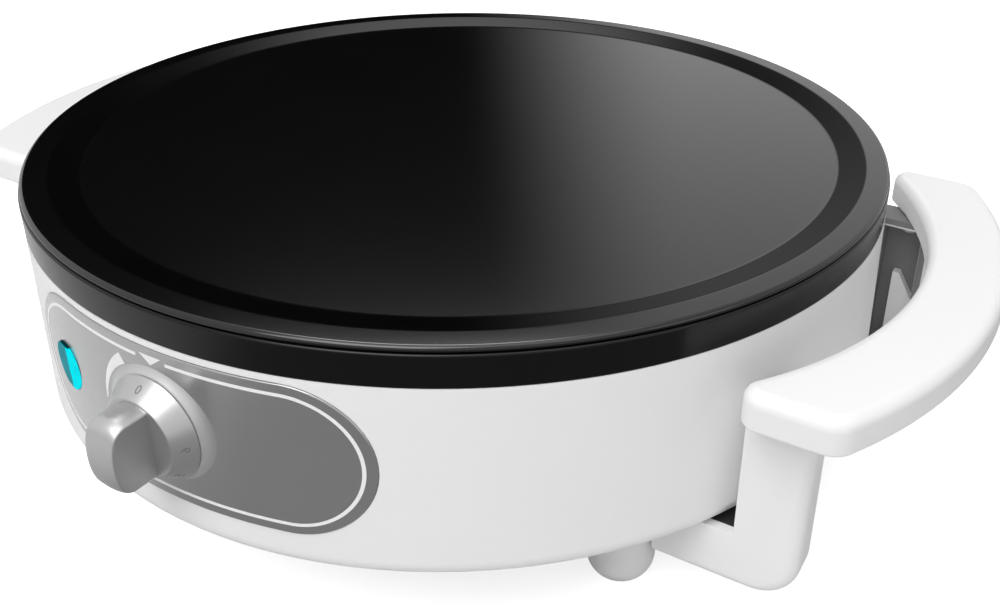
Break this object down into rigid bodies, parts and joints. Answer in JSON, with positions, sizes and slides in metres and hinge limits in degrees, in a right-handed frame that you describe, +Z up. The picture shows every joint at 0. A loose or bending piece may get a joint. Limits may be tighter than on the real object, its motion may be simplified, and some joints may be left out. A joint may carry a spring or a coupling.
{
  "type": "electric crepe maker",
  "caption": "Countertop crepe maker: round non-stick plate on a white drum, black collar, two bracket handles, feet, grey control panel with turning thermostat knob and teal lamp.",
  "frame": {"origin": "on the table, under the axis of the round drum and plate, midway between the feet", "axes": "+Z up along the drum's axis, -Y towards the user through the control knob, +X along the line of the handles"},
  "size_m": [0.3852, 0.3257, 0.11],
  "materials": {
    "nonstick_black": "die-cast plate, black non-stick coating, satin sheen",
    "collar_black": "satin gloss moulding",
    "body_white": "smooth white, semi-gloss",
    "base_black": "matt moulding",
    "panel_grey": "grey metallic satin film",
    "knob_satin": "satin metallised",
    "lens_teal": "translucent teal, faceted",
    "lamp_glass": "clear",
    "steel": "plated",
    "brass": "turned",
    "copper": "drawn copper",
    "phenolic": "moulded phenolic",
    "element_steel": "heat-tinted sheath",
    "galvanised": "galvanised sheet",
    "reflector_aluminium": "bright sheet",
    "gland_black": "matt",
    "terminal_white": "unglazed",
    "fuse_metal": "plain can",
    "wire_sleeve": "glass-fibre sleeve",
    "handle_white": "smooth white, soft sheen",
    "foot_white": "smooth white",
    "foot_rubber": "soft tip"
  },
  "bodies": {
    "casing": {"cooking_plate": "nonstick_black", "plate_collar": "collar_black", "body_shell": "body_white", "base_cover": "base_black", "control_panel": "panel_grey", "thermostat_bush": "brass", "thermostat_nut": "steel", "thermostat_body": "phenolic", "capillary_tube": "copper", "sensor_bulb": "copper", "bulb_clips": "steel", "indicator_lens": "lens_teal", "lamp_holder": "phenolic", "indicator_lamp": "lamp_glass", "heating_element": "element_steel", "element_pins": "steel", "element_clamps": "galvanised", "clamp_screws": "steel", "heat_reflector": "reflector_aluminium", "tie_posts": "steel", "reflector_push_nuts": "galvanised", "cord_gland": "gland_black", "terminal_block": "terminal_white", "terminal_screws": "brass", "thermal_fuse": "fuse_metal", "inner_wires": "wire_sleeve", "lamp_leads": "wire_sleeve", "base_screws": "steel", "tie_screws": "steel", "foot_screws": "steel", "arm_screws": "steel", "grip_screws": "steel", "handle_grip_right": "handle_white", "handle_grip_left": "handle_white", "handle_leg_right_rear": "handle_white", "foot_right_rear": "foot_white", "foot_pad_right_rear": "foot_rubber", "handle_leg_left_rear": "handle_white", "foot_left_rear": "foot_white", "foot_pad_left_rear": "foot_rubber", "handle_leg_left_front": "handle_white", "foot_left_front": "foot_white", "foot_pad_left_front": "foot_rubber", "handle_leg_right_front": "handle_white", "foot_right_front": "foot_white", "foot_pad_right_front": "foot_rubber"},
    "dial": {"control_knob": "knob_satin", "thermostat_shaft": "steel"}
  },
  "joints": [
    {"name": "knob_turn", "type": "hinge", "parent": "casing", "child": "dial", "pos_m": [0, -0.16, 0.072], "axis": [0, 1, 0], "range_deg": [0, 270]}
  ]
}
